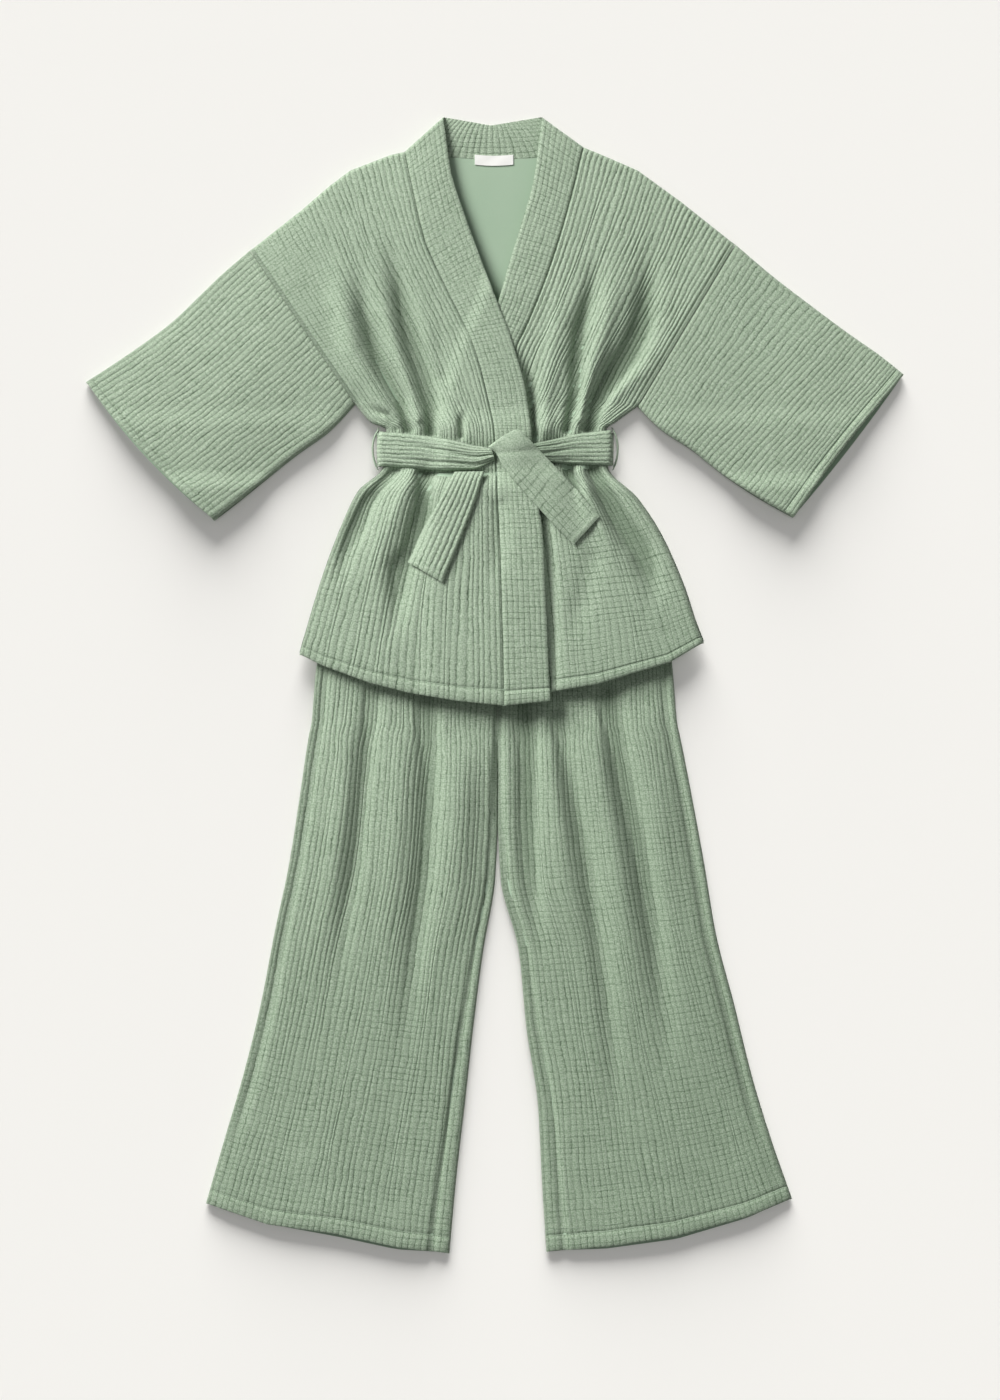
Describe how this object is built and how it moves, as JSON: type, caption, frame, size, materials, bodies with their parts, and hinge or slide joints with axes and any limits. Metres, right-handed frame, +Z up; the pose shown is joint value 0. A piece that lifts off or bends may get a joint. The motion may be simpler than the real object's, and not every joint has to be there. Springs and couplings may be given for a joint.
{
  "type": "kimono pajama set laid flat",
  "caption": "Wrap-front pajama jacket with wide sleeves, a neckband and a tied sash, laid flat over matching wide-leg trousers.",
  "frame": {"origin": "on the flat surface under the middle of the whole set, z = 0 at the underside", "axes": "+Y towards the neck, +X to the right as seen from above, +Z up out of the fronts"},
  "size_m": [1.0618, 1.4748, 0.0354],
  "materials": {
    "crinkle_cotton": "matte crinkled cotton in sage green",
    "label_tape": "matte white woven tape",
    "thread": "matte sage green thread"
  },
  "bodies": {
    "root": {"jacket_front_left": "crinkle_cotton", "jacket_front_right": "crinkle_cotton", "jacket_back": "crinkle_cotton", "sleeve_left": "crinkle_cotton", "sleeve_right": "crinkle_cotton", "neckband_left": "crinkle_cotton", "neckband_right": "crinkle_cotton", "neckband_back": "crinkle_cotton", "label": "label_tape", "sash_left": "crinkle_cotton", "sash_right": "crinkle_cotton", "sash_back": "crinkle_cotton", "sash_knot_end": "crinkle_cotton", "sash_left_end": "crinkle_cotton", "belt_loop_left": "thread", "belt_loop_right": "thread", "trousers_front_left": "crinkle_cotton", "trousers_front_right": "crinkle_cotton", "trousers_back_left": "crinkle_cotton", "trousers_back_right": "crinkle_cotton", "waistband": "crinkle_cotton"}
  },
  "joints": []
}
